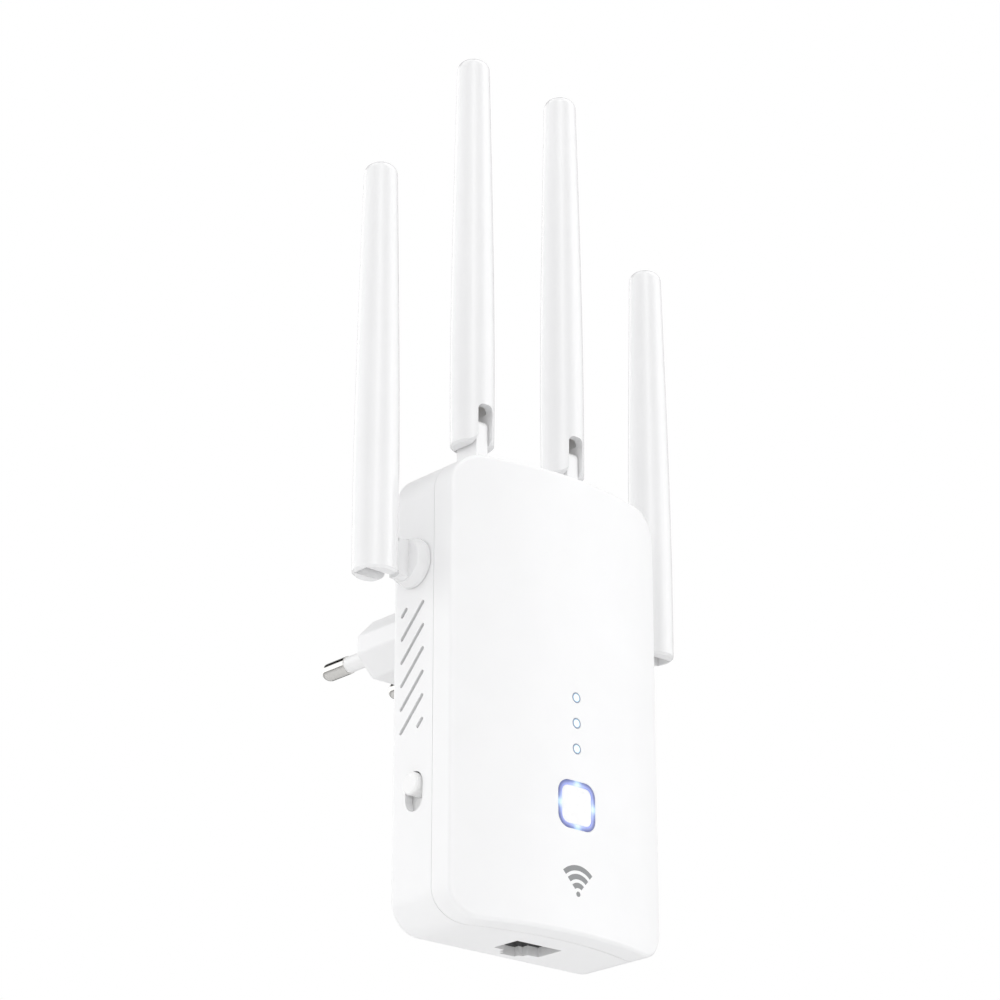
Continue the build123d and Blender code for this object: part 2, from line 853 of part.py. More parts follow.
# ---------------------------------------------------------------- network socket
def ethernet_jack():
    bottom = wall + loose_gap
    body = block(
        (-jack_width / 2, jack_width / 2),
        (-main_board_back, -jack_back),
        (bottom, bottom + jack_length),
    )
    cavity = extrude(Pos(0, 0, bottom - 1) * socket_outline(0), socket_reach + 1)
    return body - cavity


def ethernet_contacts():
    """Eight sprung wires that slope back from the mouth along the socket's front wall."""
    wires = []
    bottom = wall + loose_gap
    for i in range(contact_count):
        x = (i - (contact_count - 1) / 2) * contact_pitch
        low = (-socket_front + contact_size, bottom + contact_start)
        high = (-socket_front + contact_rise, bottom + socket_reach - contact_flat)
        end = (-socket_front + contact_rise, bottom + socket_reach)
        path = Plane.YZ * Polyline(low, high, end)
        profile = Plane(path @ 0, z_dir=path % 0) * Rectangle(contact_size, contact_size)
        wires.append(Pos(x, 0, 0) * sweep(profile, path=path, transition=Transition.RIGHT))
    return wires


# ---------------------------------------------------------------- antennas
def swivel():
    """Collar, neck and tongue in one moulding, standing on the wall and pointing to +Z."""
    groove_top = -wall - collar_gap
    groove_bottom = groove_top - clip_thickness - collar_gap
    end = groove_bottom - neck_end
    end_radius = neck_radius - running_gap
    rim_top = collar_gap + collar_rim
    half_section = make_face(
        Polyline(
            (0, end),
            (end_radius, end),
            (end_radius, groove_bottom),
            (neck_groove_radius, groove_bottom),
            (neck_groove_radius, groove_top),
            (neck_radius, groove_top),
            (neck_radius, collar_gap),
            (collar_radius, collar_gap),
            (collar_radius, rim_top),
            (collar_top_radius, collar_height),
            (0, collar_height),
            close=True,
        )
    )
    top_corner = half_section.vertices().group_by(Axis.Y)[-1].sort_by(Axis.X)[-1]
    half_section = fillet(top_corner, collar_top_round)
    turned = revolve(Plane.XZ * half_section, Axis.Z)
    reach = slot_width / 2 + trunnion_reach
    trunnion = Rot(0, 90, 0) * Cylinder(trunnion_radius, 2 * reach)
    trunnion = Pos(0, hinge_offset, hinge_height) * trunnion
    bore = Cylinder(lead_bore_radius, 3 * hinge_height)
    bore = Pos(0, -lead_bore_offset, hinge_height / 2) * bore
    return turned + shank() + tongue() + trunnion - bore


def shank():
    """Round bar with two flats that carries the tongue as far as the folded blade allows."""
    bar = Pos(0, 0, shank_end / 2) * Cylinder(shank_radius, shank_end)
    return bar & Box(tongue_thickness, 2 * collar_radius, 2 * hinge_height)


def tongue():
    """Flat tongue with rounded top corners, from the collar to just past the fold axis."""
    half = tongue_width / 2
    top = hinge_height + tongue_reach
    side_view = make_face(
        Polyline((-half, collar_rim), (half, collar_rim), (half, top), (-half, top), close=True)
    )
    front_corner = side_view.vertices().group_by(Axis.Y)[-1].sort_by(Axis.X)[0]
    side_view = fillet(front_corner, tongue_front_round)
    back_corner = side_view.vertices().sort_by(Axis.X)[-2:].sort_by(Axis.Y)[-1]
    side_view = fillet(back_corner, tongue_back_round)
    return extrude(Plane.YZ * side_view, tongue_thickness / 2, both=True)


def clip():
    """C-shaped clip in the neck's groove, behind the housing wall."""
    middle = -wall - collar_gap - clip_thickness / 2 - collar_gap / 2
    ring = Pos(0, 0, middle) * Cylinder(clip_radius, clip_thickness)
    ring = ring - Pos(0, 0, middle) * Cylinder(neck_groove_radius + running_gap, 2)
    mouth = Pos(0, clip_radius / 2, middle) * Box(clip_mouth, clip_radius, 2)
    return ring - mouth


def blade():
    """Hollow tapering blade with a one-sided slot that lets the tongue swing out."""
    top = blade_length
    side = Spline(
        (blade_radius, blade_base_chamfer),
        *[(blade_radius * wide, top * up) for up, wide in blade_swell],
        (blade_tip_radius, top),
    )
    base = Polyline(
        (0, top), (0, 0), (blade_radius - blade_base_chamfer, 0), (blade_radius, blade_base_chamfer)
    )
    tip = Line((blade_tip_radius, top), (0, top))
    profile = Plane.XZ * make_face([side, base, tip])
    solid = revolve(profile, Axis.Z)
    rim = solid.edges().filter_by(GeomType.CIRCLE).sort_by(Axis.Z)[-1]
    solid = fillet(rim, blade_tip_round)

    bore_start = hinge_to_blade_end + slot_above_hinge - 1
    bore_length = blade_length - bore_start - 2 * blade_wall
    bore = Cone(blade_bore_radius, blade_tip_radius - blade_wall, bore_length)
    solid = solid - Pos(0, 0, bore_start + bore_length / 2) * bore

    slot_top = hinge_to_blade_end + slot_above_hinge
    slot = block(
        (-slot_width / 2, slot_width / 2),
        (-2 * blade_radius, hinge_offset + slot_behind_hinge),
        (-1, slot_top),
    )
    top_edges = slot.edges().filter_by(Axis.Y).group_by(Axis.Z)[-1]
    solid = solid - fillet(top_edges, slot_corner_radius)

    corner = -blade_radius + cheek_corner_radius
    waste = block(
        (-blade_radius, blade_radius), (corner - blade_radius, corner), (-1, cheek_corner_radius)
    )
    round_off = Pos(0, corner, cheek_corner_radius) * Rot(0, 90, 0)
    round_off = round_off * Cylinder(cheek_corner_radius, 2 * blade_radius)
    solid = solid - (waste - round_off)

    dimple_half = slot_width / 2 + trunnion_reach + loose_gap
    dimple = Pos(0, hinge_offset, hinge_to_blade_end) * Rot(0, 90, 0)
    dimple = dimple * Cylinder(trunnion_radius + running_gap, 2 * dimple_half)
    return Pos(0, 0, blade_base) * (solid - dimple)


def radiator():
    middle = blade_base + radiator_start + radiator_length / 2
    return Pos(0, 0, middle) * Box(radiator_width, radiator_thickness, radiator_length)


def fold(shape):
    """Turn a blade piece a quarter turn about the fold axis, towards local -Y."""
    hinge = Pos(0, hinge_offset, hinge_height)
    return hinge * Rot(90, 0, 0) * hinge.inverse() * shape


def antennas():
    """The side antennas are stored folded up beside the housing, the top ones stand straight."""
    swivel_solid = swivel()
    clip_solid = clip()
    blade_solid = blade()
    radiator_solid = radiator()
    for name, plane in antenna_planes().items():
        folded = name in ("left", "right")
        export(f"{name}_antenna_swivel", plane * swivel_solid)
        export(f"{name}_antenna_clip", plane * clip_solid)
        for piece, solid in (("blade", blade_solid), ("radiator", radiator_solid)):
            shape = fold(solid) if folded else solid
            export(f"{name}_antenna_{piece}", plane * shape)


def lead_ends():
    """Where each antenna lead leaves its neck, and the direction that it leaves in."""
    inner = -wall - 3 * collar_gap - clip_thickness - neck_end
    ends = []
    for plane in antenna_planes().values():
        local = Vector(0, -lead_bore_offset, inner)
        start = plane.from_local_coords(local)
        ends.append((start, -plane.z_dir))
    return ends


def coax_leads():
    """Short thin leads from the necks to the main board, each with one easy bend."""
    leads = []
    board_y = -main_board_back + connector_height
    for start, direction in lead_ends():
        corner = start + direction * lead_reach
        end = Vector(corner.X, board_y, corner.Z)
        path = FilletPolyline(start, corner, end, radius=0.45 * lead_reach)
        profile = Plane(start, z_dir=direction) * Circle(lead_radius)
        leads.append(sweep(profile, path=path))
    return leads


def coax_connectors():
    plugs = []
    for start, direction in lead_ends():
        corner = start + direction * lead_reach
        board_y = -main_board_back
        top = board_y + connector_height
        plugs.append(rod(connector_radius, corner.X, corner.Z, board_y, top))
    return plugs


# ---------------------------------------------------------------- write every sub-part
def main():
    export("front_cover", front_cover())
    export("rear_case", rear_case())
    export("case_screws", *case_screws())

    export("plug_housing", plug_housing())
    for name, side in (("left", -1), ("right", 1)):
        export(f"plug_pin_{name}", plug_pin(side))
        export(f"plug_sleeve_{name}", plug_sleeve(side))
        export(f"mains_contact_{name}", mains_contact(side))
    export("pin_retainer", pin_retainer())
    export("retainer_screw", retainer_screw())

    export("power_board", power_board())
    export("main_board", main_board())
    export("board_screws", *board_screws())
    export("board_header", board_header())
    export("transformer_core", transformer_core())
    export("transformer_winding", transformer_winding())
    can_x = -power_board_half / 2
    upper = pin_height + upper_row
    lower = pin_height + lower_row
    safety_x = (can_x + input_can[0] + transformer_x - core_width / 2) / 2
    export("input_capacitor_upper", lying_can(input_can, can_x, upper))
    export("input_capacitor_lower", lying_can(input_can, can_x, lower))
    export("output_capacitor", lying_can(output_can, output_can_x, lower))
    export("fuse_resistor", lying_can(fuse_can, 0, lower))
    export("safety_capacitor", lying_can(safety_can, safety_x, upper))
    controller_z = pin_height + controller_rise
    controller = chip(controller_x, controller_z, controller_size, -power_board_front)
    export("power_controller", controller)

    export("rf_shield", rf_shield())
    export("wifi_processor", chip(0, shield_middle, processor_size))
    export("thermal_pad", thermal_pad())
    export("heat_spreader", heat_spreader())
    export("memory_chip", chip(main_board_half / 2, light_heights[0], memory_size))
    export("led_chips", *led_chips())
    export("status_light_pipe", status_light_pipe())
    export("ring_light_guide", ring_light_guide())
    export("button_cap", button_cap())
    export("tact_switch", tact_switch())
    export("tact_plunger", tact_plunger())

    export("mode_switch_knob", mode_switch_knob())
    export("mode_switch_slider", mode_switch_slider())
    export("mode_switch_body", mode_switch_body())

    export("ethernet_jack", ethernet_jack())
    export("ethernet_contacts", *ethernet_contacts())
    magnetics_z = wall + jack_length + magnetics_above_jack
    magnetics_back = magnetics_size[2] - main_board_back
    export("ethernet_transformer", chip(0, magnetics_z, magnetics_size, magnetics_back))

    antennas()
    export("coax_leads", *coax_leads())
    export("coax_connectors", *coax_connectors())


main()
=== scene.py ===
import json
import math
import bpy
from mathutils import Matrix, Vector


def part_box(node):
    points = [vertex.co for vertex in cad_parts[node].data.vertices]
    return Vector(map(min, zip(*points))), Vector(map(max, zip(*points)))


# The looks of a plug-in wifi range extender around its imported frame: satin white mouldings, a lit
# ring and lights, nickelled pins, and the boards and parts inside. Metres, +Z up, front towards -Y.

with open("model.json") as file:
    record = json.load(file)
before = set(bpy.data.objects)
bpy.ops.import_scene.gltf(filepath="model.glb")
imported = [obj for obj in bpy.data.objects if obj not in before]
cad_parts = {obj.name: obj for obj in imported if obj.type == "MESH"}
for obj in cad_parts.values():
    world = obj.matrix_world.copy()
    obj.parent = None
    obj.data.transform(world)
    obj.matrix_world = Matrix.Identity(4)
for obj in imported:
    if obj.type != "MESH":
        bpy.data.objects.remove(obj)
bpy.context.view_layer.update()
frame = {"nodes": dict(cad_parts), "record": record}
nodes = frame["nodes"]

MM = 0.001
HOUSING_WHITE = (0.87, 0.87, 0.875)

# Grey mark low on the front: three arcs over a dot
MARK_HEIGHT = -63.0 * MM
MARK_PITCH = 1.8 * MM
MARK_LINE = 1.1 * MM
MARK_DOT = 0.55 * MM
MARK_REACH = 6.0 * MM
MARK_DEPTH = 1.2 * MM      # the print stays this close to the front of the cover

# Ring and status lights
RING_INNER, RING_OUTER = 4.25, 4.85    # mm from the middle, over which the ring darkens
LIGHT_RADIUS = 1.05 * MM
LIGHT_PITCH = 5.5 * MM

BRIGHTEST = 4.0            # the most that a strip of the studio may shine


# ---------------------------------------------------------------- places read from the frame
def centre(node):
    low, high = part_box(node)
    return (low + high) / 2


# ---------------------------------------------------------------- material building blocks
class Finish:
    """One procedural material: a principled shader and helpers that feed it."""

    def __init__(self, name, colour, roughness, metallic=0.0):
        self.mat = bpy.data.materials.new(name)
        self.mat.use_nodes = True
        self.tree = self.mat.node_tree
        self.shader = self.tree.nodes["Principled BSDF"]
        self.shader.inputs["Base Color"].default_value = (*colour, 1)
        self.shader.inputs["Roughness"].default_value = roughness
        self.shader.inputs["Metallic"].default_value = metallic
        self.colour = colour
        self.place = self.node("ShaderNodeTexCoord").outputs["Object"]

    def node(self, kind, **settings):
        made = self.tree.nodes.new(kind)
        for key, value in settings.items():
            setattr(made, key, value)
        return made

    def join(self, source, target):
        self.tree.links.new(source, target)

    def stretched(self, scale):
        """The place, scaled along each axis."""
        mapping = self.node("ShaderNodeMapping")
        mapping.inputs["Scale"].default_value = scale
        self.join(self.place, mapping.inputs["Vector"])
        return mapping.outputs["Vector"]

    def noise(self, size, detail=2.0, place=None, contrast=0.5):
        """Noise whose features are about size metres across."""
        made = self.node("ShaderNodeTexNoise")
        made.inputs["Scale"].default_value = 1 / size
        made.inputs["Detail"].default_value = detail
        made.inputs["Roughness"].default_value = contrast
        self.join(place or self.place, made.inputs["Vector"])
        return made.outputs["Fac"]

    def spread(self, source, low, high, from_low=0.3, from_high=0.7):
        """Map a texture's usual span to low .. high."""
        made = self.node("ShaderNodeMapRange")
        made.inputs["From Min"].default_value = from_low
        made.inputs["From Max"].default_value = from_high
        made.inputs["To Min"].default_value = low
        made.inputs["To Max"].default_value = high
        self.join(source, made.inputs["Value"])
        return made.outputs["Result"]

    def math(self, operation, a, b=None, clamp=False):
        made = self.node("ShaderNodeMath", operation=operation, use_clamp=clamp)
        for socket, value in zip(made.inputs, (a, b)):
            if value is None:
                continue
            if isinstance(value, (int, float)):
                socket.default_value = value
            else:
                self.join(value, socket)
        return made.outputs[0]

    def ramp(self, factor, *stops):
        """Colours along a factor: stops are (position, colour)."""
        made = self.node("ShaderNodeValToRGB")
        elements = made.color_ramp.elements
        while len(elements) < len(stops):
            elements.new(0.5)
        for element, (position, colour) in zip(elements, stops):
            element.position = position
            element.color = (*colour, 1)
        self.join(factor, made.inputs["Fac"])
        return made.outputs["Color"]

    def tint(self, factor, change):
        """Vary the colour by a share of itself, along a factor."""
        low = tuple(c * (1 - change) for c in self.colour)
        high = tuple(min(1.0, c * (1 + change)) for c in self.colour)
        self.join(self.ramp(factor, (0.3, low), (0.7, high)), self.shader.inputs["Base Color"])
        return self

    def uneven(self, factor, low, high):
        """Let the roughness drift between two values."""
        self.join(self.spread(factor, low, high), self.shader.inputs["Roughness"])
        return self

    def relief(self, height, depth, strength=1.0):
        """Raise the surface by a height map, depth in metres; several calls add up."""
        bump = self.node("ShaderNodeBump")
        bump.inputs["Distance"].default_value = depth
        bump.inputs["Strength"].default_value = strength
        self.join(height, bump.inputs["Height"])
        link = self.shader.inputs["Normal"].links
        if link:
            self.join(link[0].from_socket, bump.inputs["Normal"])
        self.join(bump.outputs["Normal"], self.shader.inputs["Normal"])
        return self

    def coat(self, weight, roughness):
        self.shader.inputs["Coat Weight"].default_value = weight
        self.shader.inputs["Coat Roughness"].default_value = roughness
        return self


# ---------------------------------------------------------------- plastics
def moulded_white(name, colour, roughness, grain, depth, painted_slot_glow=0.0):
    """Injection-moulded plastic: an even spark grain, slow random drifts of tone and gloss, fine rub
    marks.
    The emission is painted light: a faint white glow that lifts the deep slots out of their shade."""
    made = Finish(name, colour, roughness)
    made.shader.inputs["IOR"].default_value = 1.5
    drift = made.noise(12 * MM, 3)
    made.tint(drift, 0.008)
    made.uneven(made.noise(4 * MM, 4), roughness - 0.04, roughness + 0.05)
    made.relief(made.noise(grain, 3, contrast=0.6), depth)
    made.relief(made.noise(9 * MM, 1), 0.02 * MM, 0.25)
    # Faint white emission: painted light, no lamp, that lifts the deep slots out of their shade
    made.shader.inputs["Emission Color"].default_value = (1, 1, 1, 1)
    made.shader.inputs["Emission Strength"].default_value = painted_slot_glow
    return made


def marked_cover():
    """The front cover's white, with a grey mark of three arcs over a dot low on the front face."""
    made = moulded_white("cover_satin", HOUSING_WHITE, 0.42, 0.35 * MM, 0.006 * MM)
    split = made.node("ShaderNodeSeparateXYZ")
    made.join(made.place, split.inputs["Vector"])
    across = split.outputs["X"]
    up = made.math("SUBTRACT", split.outputs["Z"], MARK_HEIGHT)
    across_squared = made.math("POWER", across, 2.0)
    far = made.math("SQRT", made.math("ADD", across_squared, made.math("MULTIPLY", up, up)))
    turn = made.math("MODULO", made.math("ADD", far, MARK_DOT), MARK_PITCH)
    lines = made.math("LESS_THAN", turn, MARK_LINE)
    wedge = made.math("LESS_THAN", made.math("ABSOLUTE", across), made.math("MULTIPLY", up, 0.9))
    dot = made.math("LESS_THAN", far, MARK_DOT)
    within = made.math("LESS_THAN", far, MARK_REACH)
    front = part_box("front_cover")[0].y
    outside = made.math("LESS_THAN", split.outputs["Y"], front + MARK_DEPTH)
    arcs = made.math("MAXIMUM", made.math("MULTIPLY", lines, wedge), dot)
    ink = made.math("MULTIPLY", made.math("MULTIPLY", arcs, within), outside)
    plain = made.shader.inputs["Base Color"].links[0].from_socket
    mixed = made.node("ShaderNodeMix", data_type="RGBA")
    mixed.inputs["B"].default_value = (0.23, 0.235, 0.24, 1)
    made.join(ink, mixed.inputs["Factor"])
    made.join(plain, mixed.inputs["A"])
    made.join(mixed.outputs["Result"], made.shader.inputs["Base Color"])
    return made.mat


def dark_plastic(name, colour, roughness=0.5):
    """Glass-filled black or grey plastic with a faint fleck."""
    made = Finish(name, colour, roughness)
    made.tint(made.noise(0.5 * MM, 4), 0.18)
    made.uneven(made.noise(1.5 * MM, 3), roughness - 0.08, roughness + 0.1)
    made.relief(made.noise(0.25 * MM, 3), 0.012 * MM)
    return made.mat


def epoxy_chip():
    """Moulded epoxy with a fine matt grain."""
    made = Finish("chip_epoxy", (0.022, 0.022, 0.024), 0.55)
    made.tint(made.noise(0.3 * MM, 4), 0.25)
    made.relief(made.noise(0.12 * MM, 2), 0.008 * MM)
    return made.mat


def silicone():
    made = Finish("pad_silicone", (0.20, 0.25, 0.32), 0.75)
    made.tint(made.noise(0.4 * MM, 4), 0.1)
    made.relief(made.noise(0.3 * MM, 3), 0.02 * MM)
    made.shader.inputs["Sheen Weight"].default_value = 0.2
    return made.mat


def dipped_blue():
    """Glossy dipped epoxy with a slight orange peel."""
    made = Finish("dipped_epoxy", (0.02, 0.07, 0.26), 0.25)
    made.tint(made.noise(1.2 * MM, 2), 0.12)
    made.relief(made.noise(0.9 * MM, 1), 0.03 * MM)
    return made.coat(0.4, 0.12).mat


# ---------------------------------------------------------------- metals
def nickel_pin():
    """Turned and nickelled brass: fine lathe rings across the pins, a bright even gloss."""
    made = Finish("pin_nickel", (0.70, 0.69, 0.67), 0.14, 1.0)
    turned = made.noise(0.05 * MM, 2, made.stretched((0.02, 1.0, 0.02)))
    made.uneven(made.noise(1.5 * MM, 3), 0.10, 0.2)
    made.relief(turned, 0.002 * MM, 0.6)
    return made.mat


def sprung_brass():
    """Rolled and gold-flashed strip or wire."""
    made = Finish("contact_gold", (0.78, 0.55, 0.22), 0.22, 1.0)
    rolled = made.noise(0.06 * MM, 2, made.stretched((1.0, 0.05, 0.05)))
    made.tint(made.noise(1.0 * MM, 2), 0.06)
    made.relief(rolled, 0.002 * MM)
    return made.mat


def rolled_sheet(name, colour, roughness):
    """Rolled sheet metal with a drawn grain along Z."""
    made = Finish(name, colour, roughness, 1.0)
    rolled = made.noise(0.12 * MM, 3, made.stretched((1.0, 1.0, 0.04)))
    made.tint(made.noise(3 * MM, 2), 0.05)
    made.uneven(rolled, roughness - 0.08, roughness + 0.1)
    made.relief(rolled, 0.003 * MM)
    return made.mat


def blasted_aluminium():
    made = Finish("spreader_aluminium", (0.62, 0.62, 0.63), 0.42, 1.0)
    made.tint(made.noise(0.3 * MM, 3), 0.08)
    made.relief(made.noise(0.18 * MM, 3), 0.01 * MM)
    return made.mat


def ferrite():
    made = Finish("core_ferrite", (0.035, 0.035, 0.038), 0.6)
    made.tint(made.noise(0.2 * MM, 5, contrast=0.7), 0.4)
    made.relief(made.noise(0.25 * MM, 4), 0.02 * MM)
    return made.mat


def wound_copper():
    """Enamelled wire laid in turns round the core, its colour darkened towards the grooves between
    turns as painted shade.
    """
    made = Finish("coil_copper", (0.55, 0.18, 0.06), 0.3, 0.85)
    turns = made.node("ShaderNodeTexWave", wave_type="BANDS", bands_direction="Z")
    turns.inputs["Scale"].default_value = 0.31 / (0.4 * MM)
    turns.inputs["Distortion"].default_value = 0.4
    made.join(made.place, turns.inputs["Vector"])
    wire = turns.outputs["Fac"]
    # Painted shade: the copper darkens where the bands dip into the grooves between turns
    painted_groove_shade = made.ramp(wire, (0.0, (0.18, 0.05, 0.02)), (0.5, (0.62, 0.22, 0.08)))
    made.join(painted_groove_shade, made.shader.inputs["Base Color"])
    made.relief(wire, 0.12 * MM)
    return made.coat(0.5, 0.15).mat


def circuit_board():
    """Green solder mask over tracks, with tinned pads."""
    made = Finish("board_solder_mask", (0.008, 0.11, 0.04), 0.32)
    cells = made.node("ShaderNodeTexVoronoi", feature="DISTANCE_TO_EDGE")
    cells.inputs["Scale"].default_value = 1 / (2.6 * MM)
    cells.inputs["Randomness"].default_value = 0.55
    made.join(made.place, cells.inputs["Vector"])
    track = made.spread(cells.outputs["Distance"], 1.0, 0.0, 0.06, 0.09)
    pads = made.node("ShaderNodeTexVoronoi", distance="CHEBYCHEV")
    pads.inputs["Scale"].default_value = 1 / (3.4 * MM)
    made.join(made.place, pads.inputs["Vector"])
    pad = made.spread(pads.outputs["Distance"], 1.0, 0.0, 0.10, 0.12)
    ground = made.ramp(track, (0.0, (0.008, 0.11, 0.04)), (1.0, (0.02, 0.21, 0.08)))
    mixed = made.node("ShaderNodeMix", data_type="RGBA")
    mixed.inputs["B"].default_value = (0.62, 0.62, 0.60, 1)
    made.join(pad, mixed.inputs["Factor"])
    made.join(ground, mixed.inputs["A"])
    made.join(mixed.outputs["Result"], made.shader.inputs["Base Color"])
    made.join(pad, made.shader.inputs["Metallic"])
    made.relief(track, 0.03 * MM)
    made.relief(made.noise(0.35 * MM, 2), 0.006 * MM)
    return made.coat(0.3, 0.1).mat


# ---------------------------------------------------------------- lit pieces
def ring_light():
    """Clear ring lit from four places: pale where a lamp sits behind it, blue between them, and
    darker towards its outer edge."""
    made = Finish("ring_lit", (0.05, 0.06, 0.16), 0.25)
    middle = centre("ring_light_guide")
    split = made.node("ShaderNodeSeparateXYZ")
    made.join(made.place, split.inputs["Vector"])
    across = made.math("MULTIPLY", made.math("SUBTRACT", split.outputs["X"], middle.x), 1 / MM)
    up = made.math("MULTIPLY", made.math("SUBTRACT", split.outputs["Z"], middle.z), 1 / MM)
    sides = [made.math("POWER", made.math("ABSOLUTE", side), 4.0) for side in (across, up)]
    outward = made.math("POWER", made.math("ADD", *sides), 0.25)
    nearest = made.math("MINIMUM", made.math("ABSOLUTE", across), made.math("ABSOLUTE", up))
    between = made.spread(nearest, 0.0, 1.0, 0.3, 2.6)
    mottle = made.math("MULTIPLY_ADD", made.noise(0.8 * MM, 2), 0.15)
    made.join(between, mottle.node.inputs[2])
    inner = made.ramp(
        mottle,
        (0.05, (0.80, 0.96, 1.0)),
        (0.5, (0.44, 0.56, 0.94)),
        (1.0, (0.30, 0.36, 0.78)),
    )
    outer = made.ramp(
        mottle,
        (0.05, (0.50, 0.76, 0.98)),
        (0.5, (0.11, 0.17, 0.42)),
        (1.0, (0.05, 0.07, 0.22)),
    )
    mixed = made.node("ShaderNodeMix", data_type="RGBA")
    made.join(made.spread(outward, 0.0, 1.0, RING_INNER, RING_OUTER), mixed.inputs["Factor"])
    made.join(inner, mixed.inputs["A"])
    made.join(outer, mixed.inputs["B"])
    made.join(mixed.outputs["Result"], made.shader.inputs["Emission Color"])
    made.shader.inputs["Emission Strength"].default_value = 0.9
    made.relief(made.noise(0.6 * MM, 2), 0.01 * MM)
    return made.coat(0.3, 0.1).mat


def status_light():
    """Clear rods that are pale in the middle and dark at the rim, where they meet the cover."""
    made = Finish("status_lit", (0.45, 0.55, 0.70), 0.2)
    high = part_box("status_light_pipe")[1]
    split = made.node("ShaderNodeSeparateXYZ")
    made.join(made.place, split.inputs["Vector"])
    up = made.math("SUBTRACT", split.outputs["Z"], high.z - 1.7 * MM - LIGHT_PITCH * 2.5)
    row = made.math("SUBTRACT", made.math("MODULO", up, LIGHT_PITCH), LIGHT_PITCH / 2)
    across = made.math("POWER", split.outputs["X"], 2.0)
    away = made.math("SQRT", made.math("ADD", across, made.math("POWER", row, 2.0)))
    share = made.math("DIVIDE", away, LIGHT_RADIUS)
    glow = made.ramp(
        share,
        (0.0, (0.86, 1.0, 1.0)),
        (0.55, (0.62, 0.85, 1.0)),
        (0.82, (0.12, 0.17, 0.24)),
        (1.0, (0.08, 0.11, 0.17)),
    )
    made.join(glow, made.shader.inputs["Emission Color"])
    made.shader.inputs["Emission Strength"].default_value = 0.9
    made.join(glow, made.shader.inputs["Base Color"])
    made.relief(made.noise(0.5 * MM, 2), 0.008 * MM)
    return made.coat(0.5, 0.08).mat


def lamp_phosphor():
    made = Finish("lamp_phosphor", (0.75, 0.68, 0.35), 0.45)
    made.tint(made.noise(0.2 * MM, 3), 0.15)
    made.shader.inputs["Emission Color"].default_value = (0.35, 0.55, 1.0, 1)
    made.shader.inputs["Emission Strength"].default_value = 1.5
    made.relief(made.noise(0.2 * MM, 2), 0.01 * MM)
    return made.mat


# ---------------------------------------------------------------- every CAD node gets a finish
finishes = {
    "housing_white": moulded_white("housing_satin", HOUSING_WHITE, 0.42, 0.35 * MM, 0.006 * MM).mat,
    # The antenna white carries a faint painted glow that lifts its deep slots out of shade
    "antenna_white": moulded_white(
        "antenna_satin", (0.80, 0.80, 0.805), 0.20, 0.22 * MM, 0.0015 * MM, painted_slot_glow=0.04
    ).mat,
    "plug_white": moulded_white("plug_satin", (0.86, 0.86, 0.865), 0.38, 0.35 * MM, 0.006 * MM).mat,
    "sleeve_white": moulded_white("sleeve_gloss", (0.86, 0.86, 0.86), 0.28, 0.2 * MM, 0.003 * MM).mat,
    "switch_white": moulded_white("switch_gloss", (0.87, 0.87, 0.87), 0.26, 0.2 * MM, 0.002 * MM).mat,
    "pin_metal": nickel_pin(),
    "contact_brass": sprung_brass(),
    "tinplate": rolled_sheet("shield_tinplate", (0.66, 0.66, 0.65), 0.32),
    "steel": rolled_sheet("zinc_steel", (0.55, 0.55, 0.56), 0.3),
    "aluminium": blasted_aluminium(),
    "ferrite": ferrite(),
    "copper": wound_copper(),
    "board_green": circuit_board(),
    "chip_black": epoxy_chip(),
    "part_black": dark_plastic("part_black", (0.02, 0.02, 0.022)),
    "socket_grey": dark_plastic("socket_grey", (0.16, 0.16, 0.165), 0.45),
    "pad_grey": silicone(),
    "capacitor_blue": dipped_blue(),
    "light_blue": ring_light(),
    "led_amber": lamp_phosphor(),
}
finish_of = {s["node"]: s["material_slot"] for s in frame["record"]["subparts"]}
for name, obj in nodes.items():
    obj.data.materials.clear()
    obj.data.materials.append(finishes[finish_of[name]])
for name, look in (("status_light_pipe", status_light()), ("front_cover", marked_cover())):
    nodes[name].data.materials.clear()
    nodes[name].data.materials.append(look)


# ---------------------------------------------------------------- stage, lights and camera
def towards(azimuth, elevation):
    """Unit vector that leaves the part: azimuth 0 is its front, positive to its right."""
    a, e = math.radians(azimuth), math.radians(elevation)
    return Vector((math.sin(a) * math.cos(e), -math.cos(a) * math.cos(e), math.sin(e)))


def soft_light(name, azimuth, elevation, side, power, distance=1.2):
    """Square soft box that looks at the part, and is not seen itself."""
    data = bpy.data.lights.new(name, "AREA")
    data.shape = "SQUARE"
    data.size = side
    data.energy = power
    light = bpy.data.objects.new(name, data)
    light.visible_glossy = False
    light.visible_camera = False
    bpy.context.scene.collection.objects.link(light)
    direction = towards(azimuth, elevation)
    light.location = centre("main_board") + distance * direction
    light.rotation_euler = direction.to_track_quat("Z", "Y").to_euler()
    return light


def studio():
    """Pale floor well below the part, which hangs as if in a wall socket, and soft lights."""
    half = 3.0
    level = -0.45
    mesh = bpy.data.meshes.new("studio_floor")
    corners = [(-half, -half, level), (half, -half, level), (half, half, level), (-half, half, level)]
    mesh.from_pydata(corners, [], [(0, 1, 2, 3)])
    floor = bpy.data.objects.new("studio_floor", mesh)
    bpy.context.scene.collection.objects.link(floor)
    paint = Finish("floor_paint", (0.80, 0.80, 0.80), 0.6)
    paint.tint(paint.noise(0.3, 2), 0.01)
    mesh.materials.append(paint.mat)

    soft_light("front_left", -50, 10, 0.8, 1.6)
    soft_light("front_right", 22, 15, 0.8, 2.5)
    soft_light("left_back", -125, 10, 0.8, 2.0)
    soft_light("top_left", -80, 55, 0.7, 2.3)
    soft_light("top_right", 40, 55, 0.7, 1.8)
    soft_light("below", -60, -75, 0.3, 0.22, 0.4)
    soft_light("back", 180, 20, 0.9, 1.6)


